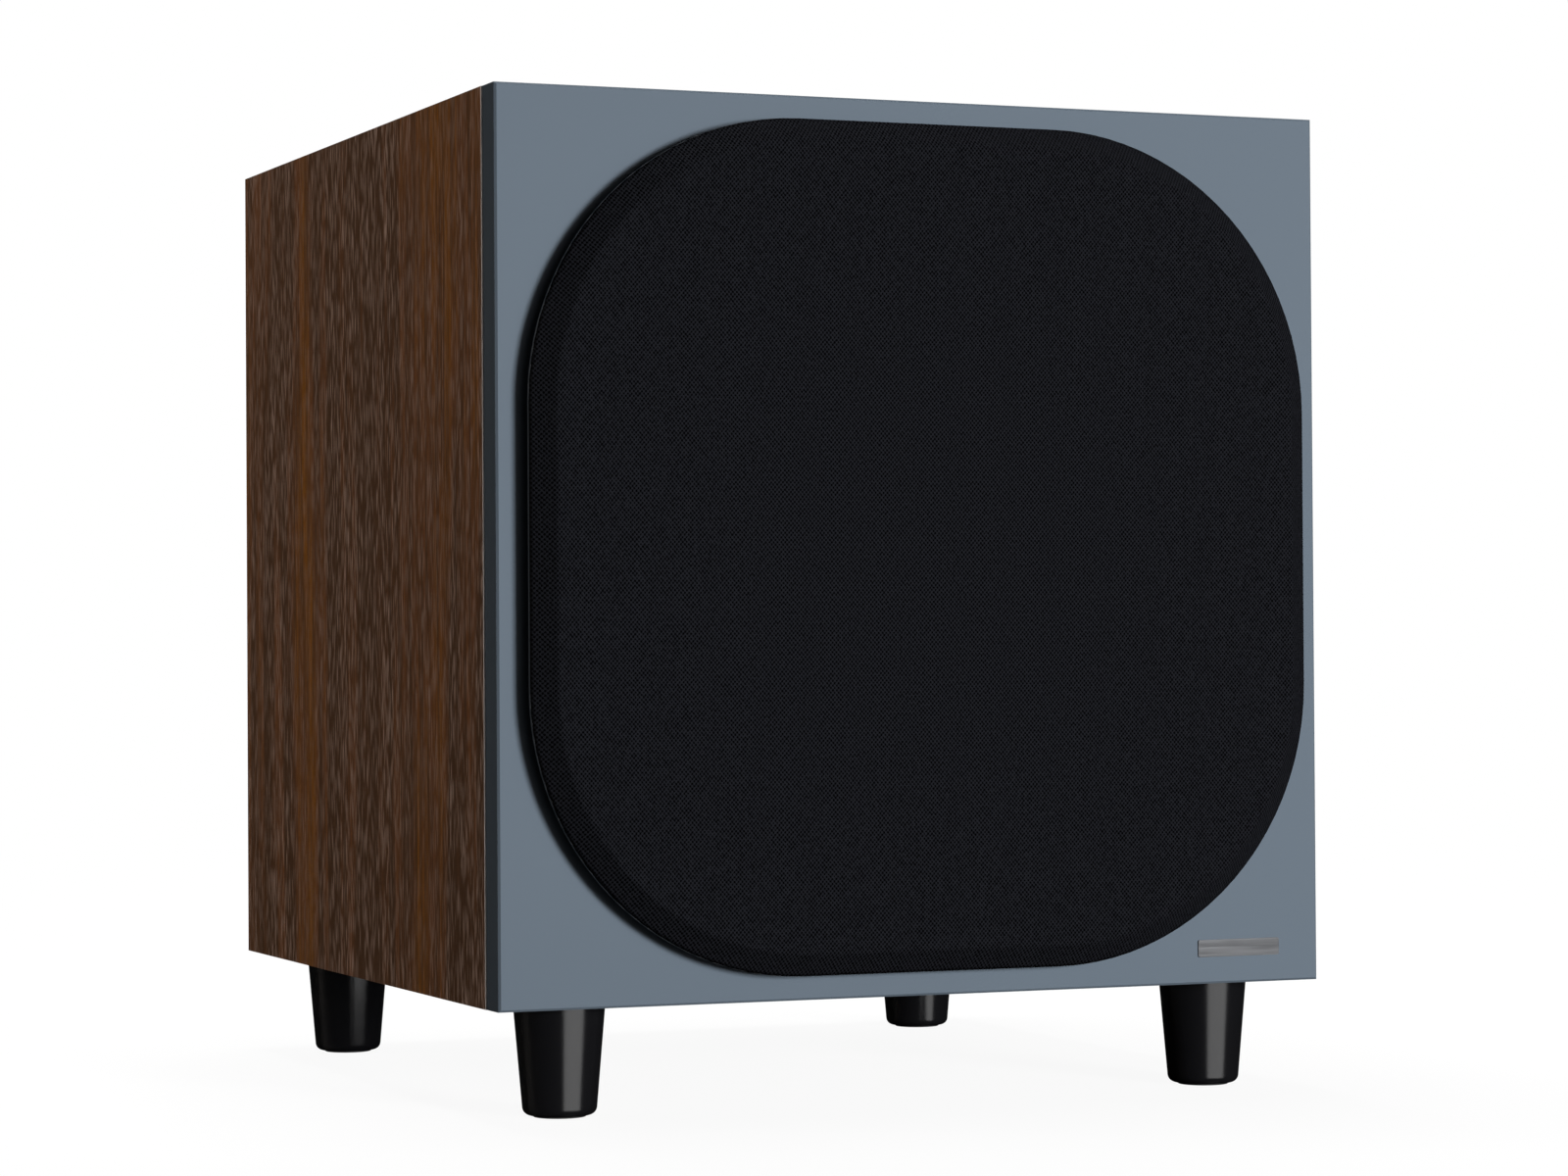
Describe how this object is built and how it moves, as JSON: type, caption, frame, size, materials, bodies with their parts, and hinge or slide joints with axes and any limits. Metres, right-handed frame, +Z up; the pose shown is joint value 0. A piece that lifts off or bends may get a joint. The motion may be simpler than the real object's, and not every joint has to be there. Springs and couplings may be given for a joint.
{
  "type": "subwoofer",
  "caption": "Box-shaped powered subwoofer on tapered feet, veneered cabinet, lacquered front, magnetic cloth grille and rear amplifier plate.",
  "frame": {"origin": "middle of the bottom of the bounding box, on the floor between the feet", "axes": "+Z up, the front faces -Y, +X to the right seen from the front"},
  "size_m": [0.3258, 0.3586, 0.3655],
  "materials": {
    "walnut_veneer": "satin lacquer",
    "slate_lacquer": "satin lacquer",
    "raw_board": "raw",
    "badge_metal": "satin",
    "foot_plastic": "satin",
    "pad_rubber": "matte",
    "bolt_steel": "zinc plated",
    "magnet_nickel": "nickel plated",
    "basket_cast": "black powder coat",
    "gasket_foam": "foam",
    "screw_black": "black oxide",
    "trim_plastic": "moulded",
    "surround_rubber": "satin",
    "cone_metal": "satin anodised",
    "former_metal": "foil",
    "coil_copper": "enamelled wire",
    "spider_cloth": "resin-treated cloth",
    "motor_steel": "zinc plated",
    "ferrite": "sintered",
    "terminal_tin": "tinned",
    "lead_cover": "soft sleeve",
    "grille_plastic": "satin",
    "grille_cloth": "fine knit",
    "wadding": "loose fibre",
    "amp_metal": "fine texture",
    "circuit_green": "solder mask",
    "heatsink_metal": "black anodised",
    "transformer_core": "varnished",
    "capacitor_sleeve": "shrink sleeve",
    "knob_plastic": "soft touch",
    "shaft_steel": "turned",
    "control_body": "moulded",
    "lever_plastic": "moulded",
    "inlet_plastic": "moulded",
    "rocker_plastic": "polished",
    "pin_plated": "nickel plated",
    "fuse_glass": "clear",
    "jack_gold": "gold plated",
    "jack_insulator": "moulded",
    "led_lens": "diffused"
  },
  "bodies": {
    "cabinet": {"amp_gasket": "gasket_foam", "amp_plate": "amp_metal", "amp_screws": "screw_black", "back_panel": "walnut_veneer", "badge": "badge_metal", "baffle_magnets": "magnet_nickel", "basket": "basket_cast", "bottom_panel": "walnut_veneer", "control_pots": "control_body", "cross_brace": "raw_board", "driver_gasket": "gasket_foam", "driver_screws": "screw_black", "driver_terminals": "terminal_tin", "foot_bolts": "bolt_steel", "foot_front_left": "foot_plastic", "foot_front_right": "foot_plastic", "foot_pads": "pad_rubber", "foot_rear_left": "foot_plastic", "foot_rear_right": "foot_plastic", "front_baffle": "slate_lacquer", "heatsink": "heatsink_metal", "inlet_pins": "pin_plated", "inner_baffle": "raw_board", "magnet_ring": "ferrite", "main_board": "circuit_green", "mains_inlet": "inlet_plastic", "pole_yoke": "motor_steel", "rca_barrels": "jack_gold", "rca_insulators": "jack_insulator", "rocker_housing": "inlet_plastic", "side_panel_left": "walnut_veneer", "side_panel_right": "walnut_veneer", "speaker_lead": "lead_cover", "spider": "spider_cloth", "status_led": "led_lens", "supply_capacitors": "capacitor_sleeve", "supply_transformer": "transformer_core", "surround": "surround_rubber", "switch_bodies": "control_body", "top_panel": "walnut_veneer", "top_plate": "motor_steel", "trigger_jack": "jack_insulator", "trim_ring": "trim_plastic", "wadding_pads": "wadding"},
    "grille": {"grille_frame": "grille_plastic", "grille_back_ring": "grille_plastic", "grille_cloth": "grille_cloth", "grille_magnets": "magnet_nickel"},
    "diaphragm": {"cone": "cone_metal", "voice_coil_former": "former_metal", "voice_coil": "coil_copper"},
    "volume": {"volume_knob": "knob_plastic", "volume_shaft": "shaft_steel"},
    "crossover": {"crossover_knob": "knob_plastic", "crossover_shaft": "shaft_steel"},
    "phase": {"phase_lever": "lever_plastic"},
    "power_mode": {"mode_lever": "lever_plastic"},
    "rocker": {"mains_rocker": "rocker_plastic"},
    "fuse_tray": {"fuse_drawer": "inlet_plastic", "fuse": "fuse_glass"}
  },
  "joints": [
    {"name": "grille_pull", "type": "slide", "parent": "cabinet", "child": "grille", "axis": [0, -1, 0], "range_m": [0, 0.06]},
    {"name": "cone_travel", "type": "slide", "parent": "cabinet", "child": "diaphragm", "axis": [0, -1, 0], "range_m": [-0.012, 0.012], "stiffness_N_per_m": 4000, "deforming": ["surround", "spider"]},
    {"name": "volume_turn", "type": "hinge", "parent": "cabinet", "child": "volume", "pos_m": [0.062, 0.1698, 0.287], "axis": [0, 1, 0], "range_deg": [-150, 150]},
    {"name": "crossover_turn", "type": "hinge", "parent": "cabinet", "child": "crossover", "pos_m": [0.018, 0.1698, 0.287], "axis": [0, 1, 0], "range_deg": [-150, 150]},
    {"name": "phase_slide", "type": "slide", "parent": "cabinet", "child": "phase", "axis": [1, 0, 0], "range_m": [0, 0.004]},
    {"name": "mode_slide", "type": "slide", "parent": "cabinet", "child": "power_mode", "axis": [1, 0, 0], "range_m": [0, 0.004]},
    {"name": "rocker_tilt", "type": "hinge", "parent": "cabinet", "child": "rocker", "pos_m": [-0.004, 0.1702, 0.125], "axis": [1, 0, 0], "range_deg": [-20, 0]},
    {"name": "fuse_drawer_slide", "type": "slide", "parent": "cabinet", "child": "fuse_tray", "axis": [0, 1, 0], "range_m": [0, 0.022]}
  ]
}
